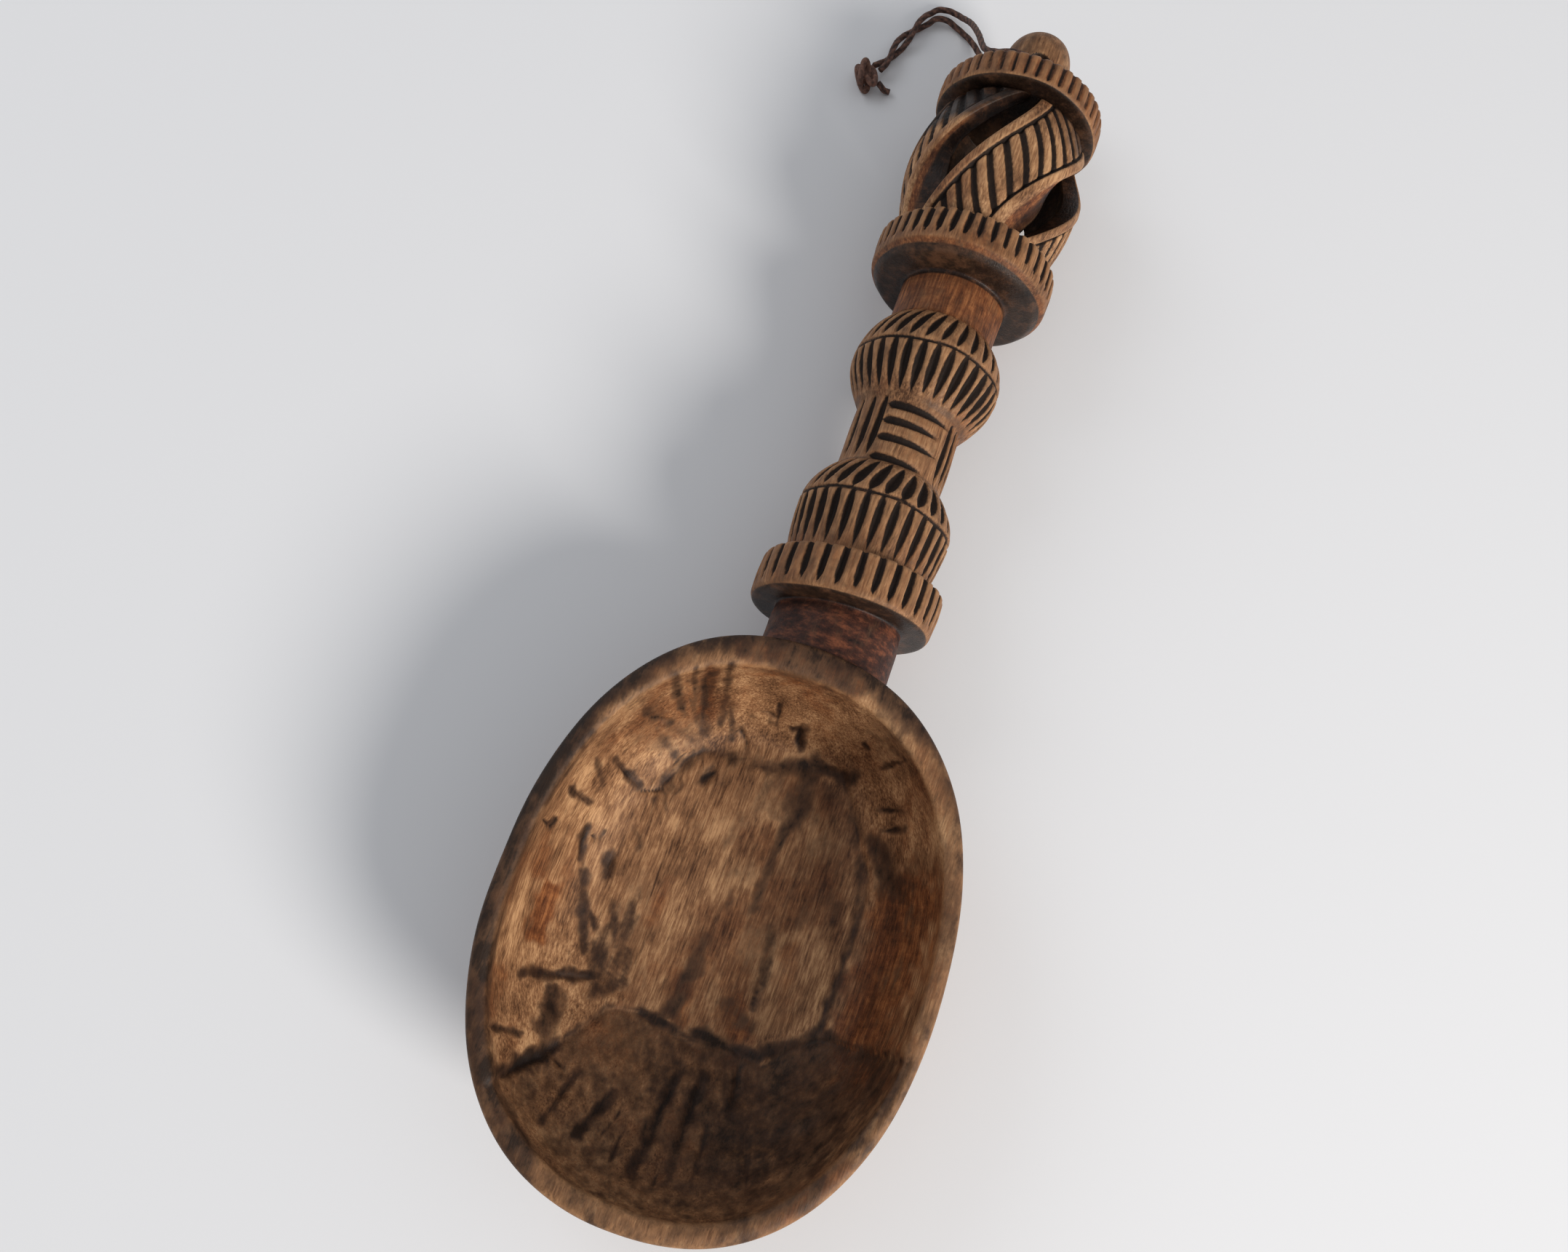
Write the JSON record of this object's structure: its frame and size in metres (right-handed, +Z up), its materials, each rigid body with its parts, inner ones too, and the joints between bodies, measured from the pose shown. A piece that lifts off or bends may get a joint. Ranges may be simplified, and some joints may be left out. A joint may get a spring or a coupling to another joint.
{
  "type": "carved wooden spoon",
  "caption": "Deep carved wooden serving spoon with a turned and notched handle, an open twisted cage below the knob, and a hanging cord tied in a knot.",
  "frame": {"origin": "on the table under the middle of the wood's bounding box, with the spoon lying on its bowl", "axes": "+Y along the handle from the bowl's tip to the knob, +Z up out of the open bowl, +X to the right seen from above with the knob at the top"},
  "size_m": [0.1102, 0.3772, 0.0533],
  "materials": {
    "wood": "hand carved and oiled, worn satin",
    "cord": "dark, matt"
  },
  "bodies": {
    "spoon": {"carved_spoon": "wood"},
    "hanging_loop": {"cord_upper_strand": "cord", "cord_lower_strand": "cord", "cord_tail": "cord", "cord_knot": "cord"}
  },
  "joints": [
    {"name": "loop_swing", "type": "hinge", "parent": "spoon", "child": "hanging_loop", "pos_m": [0.0019, 0.161, 0.0268], "axis": [0, 0, 1], "range_deg": [-38, 30]}
  ]
}
